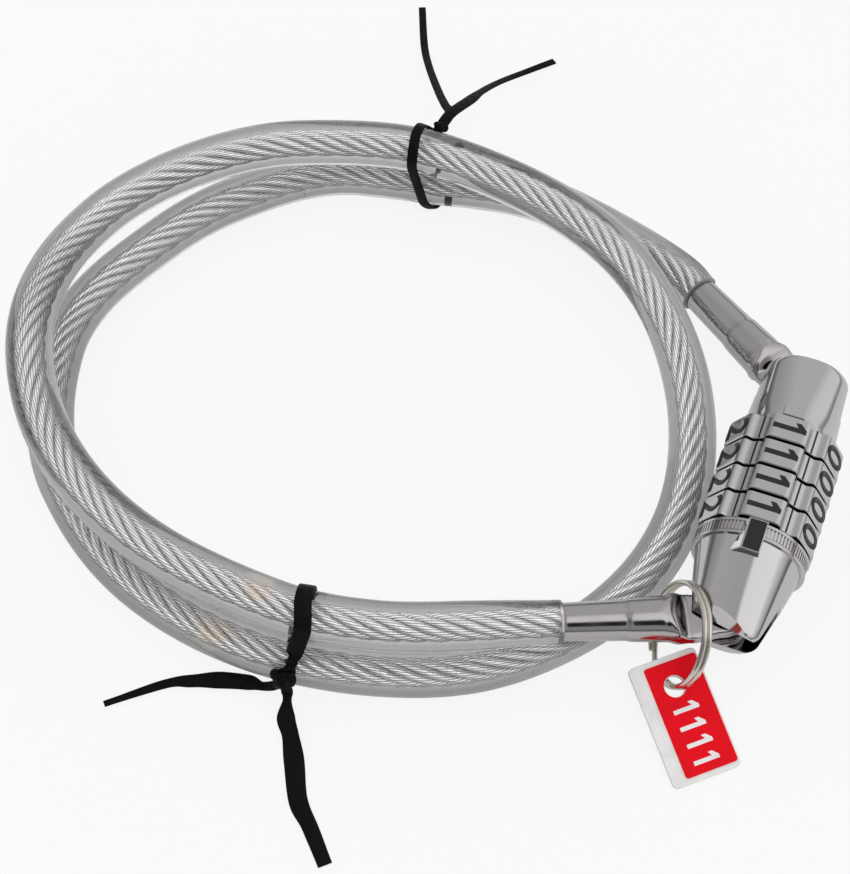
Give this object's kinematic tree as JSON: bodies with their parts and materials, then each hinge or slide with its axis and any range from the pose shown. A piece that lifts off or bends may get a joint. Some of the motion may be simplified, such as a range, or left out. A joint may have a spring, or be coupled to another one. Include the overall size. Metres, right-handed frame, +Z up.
{
  "type": "combination cable lock",
  "caption": "Chrome combination lock with turning digit dials and a pull-out plug, closing a coiled clear-jacketed wire rope, with a split ring and a tag.",
  "frame": {"origin": "under the middle of the lock, on the floor that its dials rest on", "axes": "+Y along the lock's axis from the lower cap to the pull-out upper cap, +Z up; the coil lies on the -X side"},
  "size_m": [0.1776, 0.2089, 0.0244],
  "materials": {
    "lock_chrome": "smooth bright chrome plate on zinc",
    "dial_chrome": "bright chrome plate with black-filled digits",
    "inner_steel": "turned steel",
    "ferrule_chrome": "bright chrome plate, crimped",
    "ring_nickel": "bright nickel plate",
    "tag_white": "pale gloss plastic",
    "tag_red": "red gloss label with white digits",
    "clear_jacket": "clear soft plastic, gloss",
    "wire_rope": "stranded galvanised wire rope",
    "tie_black": "black plastic-covered wire ribbon"
  },
  "bodies": {
    "lock_body": {"lower_cap": "lock_chrome", "core_sleeve": "inner_steel", "sleeve_pin": "inner_steel", "retaining_ring": "inner_steel", "detent_spring": "inner_steel", "pivot_pin_b": "inner_steel", "cable_coil_jacket": "clear_jacket", "cable_coil_rope": "wire_rope", "cable_end_a_jacket": "clear_jacket", "cable_end_a_rope": "wire_rope", "cable_end_b_jacket": "clear_jacket", "cable_end_b_rope": "wire_rope", "tie_front": "tie_black", "tie_rear": "tie_black"},
    "dial_1": {"dial_1": "dial_chrome"},
    "dial_2": {"dial_2": "dial_chrome"},
    "dial_3": {"dial_3": "dial_chrome"},
    "dial_4": {"dial_4": "dial_chrome"},
    "plug": {"upper_cap": "lock_chrome", "locking_bolt": "inner_steel", "bolt_pin": "inner_steel", "pivot_pin_a": "inner_steel"},
    "ferrule_a": {"ferrule_a": "ferrule_chrome"},
    "ferrule_b": {"ferrule_b": "ferrule_chrome"},
    "split_ring": {"split_ring": "ring_nickel"},
    "tag": {"tag_plate": "tag_white", "tag_label": "tag_red"}
  },
  "joints": [
    {"name": "dial_1_turn", "type": "hinge", "parent": "lock_body", "child": "dial_1", "pos_m": [0, 0.0114, 0.0118], "axis": [0, 1, 0], "continuous": true, "deforming": ["detent_spring"]},
    {"name": "dial_2_turn", "type": "hinge", "parent": "lock_body", "child": "dial_2", "pos_m": [0, 0.005, 0.0118], "axis": [0, 1, 0], "continuous": true, "deforming": ["detent_spring"]},
    {"name": "dial_3_turn", "type": "hinge", "parent": "lock_body", "child": "dial_3", "pos_m": [0, -0.0014, 0.0118], "axis": [0, 1, 0], "continuous": true, "deforming": ["detent_spring"]},
    {"name": "dial_4_turn", "type": "hinge", "parent": "lock_body", "child": "dial_4", "pos_m": [0, -0.0078, 0.0118], "axis": [0, 1, 0], "continuous": true, "deforming": ["detent_spring"]},
    {"name": "plug_slide", "type": "slide", "parent": "lock_body", "child": "plug", "axis": [0, 1, 0], "range_m": [0, 0.035], "deforming": ["cable_end_a_jacket", "cable_end_a_rope"]},
    {"name": "ferrule_a_swivel", "type": "hinge", "parent": "plug", "child": "ferrule_a", "pos_m": [0, 0.02725, 0.0118], "axis": [0, 0, 1], "range_deg": [-15, 5], "deforming": ["cable_end_a_jacket", "cable_end_a_rope"]},
    {"name": "ferrule_b_swivel", "type": "hinge", "parent": "lock_body", "child": "ferrule_b", "pos_m": [0, -0.02725, 0.0118], "axis": [0, 0, 1], "range_deg": [-5, 15], "deforming": ["cable_end_b_jacket", "cable_end_b_rope"]},
    {"name": "ring_swing", "type": "hinge", "parent": "ferrule_b", "child": "split_ring", "pos_m": [-0.008, -0.031, 0.0127], "axis": [-0.902, -0.4201, 0.0996], "range_deg": [0, 15]},
    {"name": "tag_swing", "type": "hinge", "parent": "split_ring", "child": "tag", "pos_m": [-0.0062, -0.0428, 0.006], "axis": [-0.7502, -0.6612, 0], "range_deg": [0, 25]}
  ]
}
